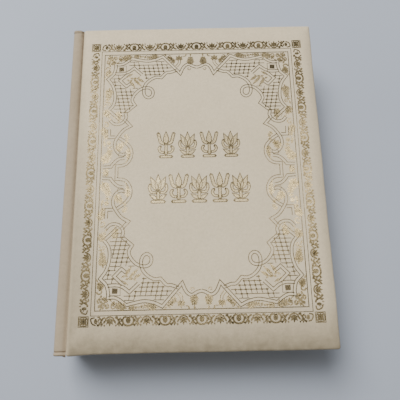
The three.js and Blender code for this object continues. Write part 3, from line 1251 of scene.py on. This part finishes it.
LATTICE_STEP = 4.3
LATTICE_ROW = 3.45
LATTICE_LINE = 0.66
LATTICE_LEAN = 0.7  # how far an upright leans from one row to the next
LATTICE_BOX = (18.0, 54.0, 86, 113)  # its lowest x and y, and its highest
SCAN = 0.5  # the step that finds where a level line starts and stops
FIGURES = (
    vectors((50.4, 98.6), (58.8, 105.6), (66, 101), (66, 94), (75, 90), (66, 81), (56, 82), (46, 86)),
    vectors((63.4, 108.6), (77.6, 108.6), (77.6, 95.2), (63.4, 95.2)),
    [Vector((45.4 + 8 * math.cos(a), 76.4 + 8 * math.sin(a))) for a in [i * 0.6 for i in range(10)]],
)


def inside(x, y, outline):
    """True where a place is inside a closed outline."""
    found = False
    for a, b in zip(outline, outline[1:] + outline[:1]):
        if (a.y > y) != (b.y > y) and x < a.x + (y - a.y) * (b.x - a.x) / (b.y - a.y):
            found = not found
    return found


def draw_lattice(foil):
    """Net ground: level lines, uprights that lean from row to row, and a bead at each upright's foot."""
    ground = beside(joined(OUTER_STRAP[1:]), -2.1) + beside(joined(INNER_STRAP[:2]), 2.1)[::-1]
    left, low, right, high = LATTICE_BOX

    def free(x, y):
        return inside(x, y, ground) and not any(inside(x, y, figure) for figure in FIGURES)

    y = low
    for row in range(math.ceil((high - low) / LATTICE_ROW)):
        start = None
        for i in range(round((right - left) / SCAN)):
            x = left + i * SCAN
            if free(x, y):
                start = x if start is None else start
            elif start is not None:
                if x - start > 1.5:
                    foil.ribbon(vectors((start, y), (x, y)), LATTICE_LINE)
                start = None
        x = left + row * LATTICE_LEAN % LATTICE_STEP
        while x < right:
            if free(x, y) and free(x + LATTICE_LEAN, y + LATTICE_ROW - 0.4):
                foil.ribbon(vectors((x, y), (x + LATTICE_LEAN, y + LATTICE_ROW)), LATTICE_LINE * 0.85)
                foil.bead(x, y, 0.9)
            x += LATTICE_STEP
        y += LATTICE_ROW


# Foliage between the straps and the inner rule, and inside the lobes: for each shape, what it is drawn with

FOLIAGE = {
    "spray": (
        (((5.9, 105.4), (6.0, 110.0), (5.8, 114.4)), 4.8, 6, 1.3),
        (((20.0, 110.6), (22.8, 110.0), (25.6, 112.4), (28.6, 115.0)), 4.4, 5, 1.0),
        (((35.6, 115.2), (40.4, 114.6), (45.6, 113.6), (51.2, 114.4)), 4.0, 7, 1.0),
        (((59.4, 115.6), (55.6, 114.8), (52.0, 115.0)), 3.4, 4, 1.0),
        (((60.6, 115.8), (65.4, 113.8), (70.4, 112.4), (73.2, 109.6)), 4.8, 6, 1.1),
        (((81.6, 100.6), (83.0, 97.4), (84.8, 94.2)), 4.2, 5, 1.5),
        (((81.0, 82.6), (81.8, 77.0), (82.2, 71.4), (84.2, 66.0)), 5.2, 7, 1.4),
        (((84.4, 60.8), (82.6, 56.6), (80.4, 52.2)), 4.6, 5, 1.4),
        (((85.2, 43.4), (84.8, 38.8), (83.0, 34.6), (84.0, 30.6)), 4.8, 6, 1.4),
        (((84.8, 8.0), (82.0, 13.4), (79.0, 19.4), (79.6, 26.0)), 6.0, 7, 1.4),
        (((72.2, 19.6), (70.0, 24.4), (66.2, 27.4)), 5.0, 6, 1.3),
        (((62.8, 22.6), (62.0, 16.6), (63.6, 11.0)), 3.8, 6, 1.3),
        (((74.0, 58.4), (71.6, 53.8), (71.8, 49.4)), 4.2, 5, 1.1),
        (((66.4, 35.8), (63.8, 32.4), (64.0, 27.4)), 3.2, 4, 1.0),
    ),
    "curve": (
        (((10.2, 117.0), (10.6, 114.8), (13.0, 114.2)), 1.4, 0.5),
        (((17.2, 111.2), (17.6, 107.4), (20.2, 104.2)), 0.7),
        (((15.2, 111.0), (15.6, 106.8), (18.4, 102.8)), 0.7),
        (((60.2, 97.0), (62.8, 94.6), (66.8, 92.6)), 1.0, 0.4),
        *[(((68.4 + 2.4 * i, 48.6 + 0.5 * i), (70.4 + 2.4 * i, 53.4 + 0.8 * i)), 0.5) for i in range(4)],
    ),
    "curl": (
        (25.2, 114.6, 1.9, 200, 320, 1.0), (47.4, 115.0, 1.5, 270, 320, 0.8),
        (71.4, 114.0, 2.6, 250, 340, 1.1), (64.0, 116.0, 1.3, 180, 280, 0.8),
        (83.0, 101.8, 2.6, 0, 330, 1.4), (81.6, 66.0, 1.9, 90, 300, 1.1),
        (83.2, 45.4, 2.9, 60, 350, 1.3), (7.6, 101.4, 1.9, 180, 300, 0.8),
    ),
    "fan": (
        (16.6, 110.8, 90, 5.4, 5, 150, 2.6), (80.2, 108.8, 250, 3.6, 3, 90, 1.8),
        (84.8, 56.4, 200, 4.6, 5, 150, 1.9), (79.8, 0.0, 0, 6.4, 5, 130, 2.6),
    ),
    "leaf": ((80.0, 113.2, 90, 3.4, 1.8), (81.0, 104.4, 60, 4.0, 1.8), (83.4, 24.2, 80, 6.0, 2.4)),
    "bead": ((80.2, 27.8, 2.1), (62.6, 95.4, 1.3)),
}
ACORNS = ((55.6, 91.8, 212, 8), (59.4, 91.6, 226, 12), (62.8, 89.4, 234, 10))  # place, turn, length


def draw_foliage(foil):
    for shape, rows in FOLIAGE.items():
        for row in rows:
            getattr(foil, shape)(*row)
    for side in (-1, 1):
        for end in (-1, 1):
            foil.curl(80.0 + side * 2.9, 111.4 + end * 2.5, 2.2, 90 * side, end * side * 300, 1.4)
            foil.leaf(80.0, 111.4, 90 - side * (90 - end * 42), 5.6, 2.2)
    for x, y, degrees, length in ACORNS:
        foil.leaf(x, y, degrees, length, 2.8)
        foil.leaf(x, y, degrees + 150, 3.4, 1.8)
        foil.leaf(x, y, degrees - 70, 3.2, 1.6)


def draw_bud(foil):
    """Border motif: a medallion in a wreath that is open towards the rules."""
    foil.bead(0, 2.9, 2.05, 1.32)
    for side in (-1, 1):
        wreath = ((1.9, 0.2), (3.6, 0.9), (4.4, 3.0), (3.9, 5.1), (2.3, 6.7), (0, 7.2))
        foil.curve([(side * x, y) for x, y in wreath], 1.45, 0, 4)
    foil.leaves((1.9, 0.4, -78, 2.4, 1.4), (3.7, 5.8, 50, 2.6, 1.6), (4.5, 3.2, 80, 2.3, 1.5))


def draw_palmette(foil):
    """Border motif: a shell of leaves under a small arch."""
    foil.fan(0, 2.5, 90, 5.1, 5, 150, 2.2)
    foil.bead(0, 3.0, 1.9)
    foil.curve([(-3.6, 3.2), (-2.7, 1.3), (0, 0.2), (2.7, 1.3), (3.6, 3.2)], 1.2, 0, 4)
    foil.leaves((3.5, 2.8, 30, 3.3, 1.7))


def draw_crossing(foil, side):
    """Between two border motifs: a scroll with leaves on it, and small leaves along the edges."""
    scroll = ((-3.4, 6.5), (-1.6, 6.1), (0, 3.6), (1.6, 1.2), (3.3, 0.8))
    foil.curve([(side * x, y) for x, y in scroll], 1.45, 0, 4)
    foil.leaf(side * -0.4, 4.2, 90 - side * 40, 3.3, 1.7)
    foil.leaf(side * 0.4, 3.0, 270 - side * 40, 3.3, 1.7)
    foil.leaf(side * -1.8, 1.5, 90 + side * 20, 2.6, 1.5)
    for x in (-2.3, 0.2, 2.7):
        foil.leaf(x, 5.9, 90, 2.0, 1.25)
    foil.leaf(-0.6, 0.3, 180, 3.0, 1.4)


def draw_run(foil, place, motifs, end):
    """Border motifs along one side of the ornament; place puts the next motif at a distance along it."""
    for k in range(-motifs, motifs + 1):
        place(k * PITCH)
        if k % 2:
            draw_palmette(foil)
        else:
            draw_bud(foil)
        if k < motifs:
            place((k + 0.5) * PITCH)
            draw_crossing(foil, -1 if k % 2 else 1)
    for side in (-1, 1):
        place(side * (motifs * PITCH + 6.9))
        draw_crossing(foil, -side)
        if end - motifs * PITCH > 12:
            place(side * (motifs * PITCH + 11.4))
            foil.bead(0, 3.4, 1.3, 1.6)
            foil.curl(-2.0 * side, 4.6, 1.5, 90, 300, 0.6)


def draw_corner(foil):
    """Border corner: a square block of leaves in a fine frame, and a hook on each side of it."""
    foil.at(BORDER_X + 3.6, BORDER_Y + 3.6)
    for turn in (0, 90, 180, 270):
        foil.leaf(0, 0, turn, 3.6, 1.7)
        foil.leaf(0, 0, turn + 45, 4.8, 2.0)
        for across in (-90, 90):
            foil.leaf(*turned(3.5, 0, turn), turn + across, 3.0, 1.2)
    foil.ribbon(vectors((-4, -4), (4, -4), (4, 4), (-4, 4), (-4, -4)), 0.55)
    foil.at(BORDER_X, BORDER_Y)
    hook = ((-5.4, 0.6), (-2.4, 1.6), (-3.4, 5.2), (-6.4, 6.6))
    foil.curve(hook, 1.1)
    foil.curve([(y, x) for x, y in hook], 1.1)


def gild_border(material):
    foil = Gilding()
    for side in (1, -1):
        foil.flip = (1, side)
        draw_run(foil, lambda s: foil.at(s, BORDER_Y), 5, 89.5)
        foil.flip = (side, 1)
        draw_run(foil, lambda s: foil.at(BORDER_X, s, -90), 7, 118.5)
    quarters(foil, draw_corner)
    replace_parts(foil.make("front_gold_border", material), "front_foil_band")


def gild_rules(material):
    foil = Gilding()
    for x, y, width in RULES:
        corners = vectors((-x, -y), (x, -y), (x, y), (-x, y))
        for a, b in zip(corners, corners[1:] + corners[:1]):
            along = (b - a).normalized() * width / 2
            foil.ribbon([(a - along).lerp(b - along, t) for t in evenly(0, 1, 24)], width)
    foil.make("front_gold_rules", material)


def quarters(foil, draw):
    """Draws one quarter of the ornament and its three mirror images."""
    for flip in ((1, 1), (-1, 1), (1, -1), (-1, -1)):
        foil.flip = flip
        draw(foil.at(0, 0))


def gild_quarters(name, draw, material):
    foil = Gilding()
    quarters(foil, draw)
    foil.make(name, material)


# The two rows of fleurons in the middle panel, where the cover has its title. Each is broad bright foil with
# a fine dark line along its edges, a painted shade of the stamping's edges.


class Fleuron:
    """One fleuron, drawn in two foils: a broad one and the line round it, whose dark foil paints the shade at
    the stamping's edges.
    """

    def __init__(self, broad, line, *place):
        self.broad = broad.at(*place)
        self.line = line.at(*place)

    def stroke(self, points, width):
        """A broad stroke with round ends."""
        path = smooth_curve(points, 5)
        self.broad.ribbon(path, width)
        for side in (-1, 1):
            self.line.ribbon(beside(path, side * width / 2))
        for end in (path[0], path[-1]):
            self.line.bead(*end, FLEURON_DOT)

    def strokes(self, points, width):
        """A broad stroke on each side of the middle line."""
        for side in (-1, 1):
            self.stroke([(side * x, y) for x, y in points], width)

    def petal(self, x, y, degrees, length, width):
        outline = leaf_outline(x, y, degrees, length, width)
        self.broad.patch(outline)
        self.line.ribbon(outline + outline[:1])

    def foot(self, top):
        """A level base, and a stem that stands on it."""
        self.stroke([(-5.6, -11.4), (5.6, -11.4)], 2.2)
        self.stroke([(0, -9.8), (0, top)], 2.2)


def draw_lily(fleuron):
    """A lily on its stem, with two leaves that curl up from its foot."""
    fleuron.foot(1.0)
    fleuron.strokes([(1.4, -7.6), (4.8, -6.8), (6.4, -3.8), (4.8, -1.3)], 2.0)
    fleuron.strokes([(1.4, 0.8), (4.6, 2.4), (5.8, 6.0), (7.2, 11.6)], 2.6)
    fleuron.petal(0, 0.2, 90, 12.8, 5.0)


def draw_tulip(fleuron):
    """A tulip of three petals over a pair of leaves, with a curl on each side."""
    fleuron.foot(-2.4)
    for side in (-1, 1):
        fleuron.petal(side * 0.8, -9.4, 90 - side * 56, 7.6, 3.0)
        fleuron.petal(side * 0.7, -2.0, 90 - side * 25, 13.4, 4.8)
    fleuron.strokes([(1.4, -3.6), (5.4, -3.2), (7.2, 0.2), (6.6, 3.8)], 2.0)
    fleuron.petal(0, -2.4, 90, 14.6, 5.2)


def gild_fleurons(broad_material, line_material):
    broad = Gilding()
    line = Gilding(FLEURON_LINE_LIFT)
    rows = ((25.1, 4, 19.3, 0.98), (-15.3, 5, 17.9, 1.04))  # height, count, pitch and size
    for y, count, pitch, size in rows:
        for i in range(count):
            draw = draw_lily if i % 2 == count % 2 else draw_tulip
            draw(Fleuron(broad, line, (i - (count - 1) / 2) * pitch, y, 0, size))
    broad.make("front_gold_fleurons", broad_material)
    # the dark outlines paint the shade at the edges of the stamping
    line.make("front_gold_fleuron_shade_lines", line_material)


def add_gilding():
    # a darker copy of the foil: its colour paints the shade of the stamped lines and the dark room they
    # reflect
    lines = gold_foil("gold_foil_painted_shade", (0.30, 0.245, 0.15), (0.17, 0.14, 0.084), (0.34, 0.285, 0.19), 0.12)
    border = gold_foil("gold_foil", (0.54, 0.437, 0.25), (0.235, 0.19, 0.104), (0.54, 0.465, 0.32), 0.4)
    # a lighter copy of the foil: its colour paints the bright reflection the foliage catches
    bright = gold_foil("gold_foil_painted_highlight", (0.82, 0.67, 0.39), (0.54, 0.435, 0.24), (0.86, 0.76, 0.55), 0.5)
    title = gold_foil(
        "gold_foil_title", (0.75, 0.63, 0.385), (0.64, 0.525, 0.31), (0.80, 0.71, 0.50), 0.3, metallic=0.6,
    )
    gild_border(border)
    gild_rules(lines)
    gild_quarters("front_gold_straps", draw_straps, lines)
    gild_quarters("front_gold_lattice", draw_lattice, lines)
    gild_quarters("front_gold_foliage", draw_foliage, bright)
    gild_fleurons(title, lines)


# Putting it together


def dress(nodes, material):
    """Gives CAD nodes that stay a finished material."""
    for name in nodes:
        node = frame["nodes"][name]
        for place in node.material_slots:
            place.material = material


def add_book():
    # the third colour of each is the soil colour, which also paints shade on the margins and beside the joint
    leather = leatherette("cream_leatherette", (0.725, 0.62, 0.44), (0.70, 0.595, 0.418), (0.27, 0.225, 0.15))
    spine = leatherette("spine_leatherette", (0.44, 0.362, 0.258), (0.41, 0.334, 0.236), (0.22, 0.175, 0.12))
    add_cover_skins(leather)
    add_joint_skins(spine)
    add_foam_pads(foam())
    add_mull(gauze())
    add_threads(thread())
    add_headbands(woven_band())
    page = paper("page_paper", (0.78, 0.72, 0.58), (0.70, 0.62, 0.47))
    add_sections(page.material, gilt_edge())
    plain = paper("endpaper", (0.76, 0.71, 0.60), (0.69, 0.63, 0.50)).material
    mapped = paper("endpaper_sheet", (0.76, 0.71, 0.60), (0.69, 0.63, 0.50), True).material
    for node in ("front_flyleaf", "back_flyleaf"):
        add_leaf(node, mapped)
    prints = (
        ("presentation_leaf", "presentation_sheet", presentation_design, (0.34, 0.17, 0.10)),
        ("family_record_leaf", "record_sheet", record_design, (0.16, 0.22, 0.30)),
        ("title_leaf", "title_sheet", title_design, (0.12, 0.10, 0.09)),
    )
    for node, *print_values in prints:
        add_leaf(node, printed_paper(*print_values))
    add_endpaper_hinges(mapped)
    dress(("front_pastedown", "back_pastedown"), plain)
    dress(("front_board", "back_board", "spine_card"), grey_board())
    dress(("spine_liner",), kraft())
    add_gilding()


add_camera()
add_lights()
add_floor()
add_book()
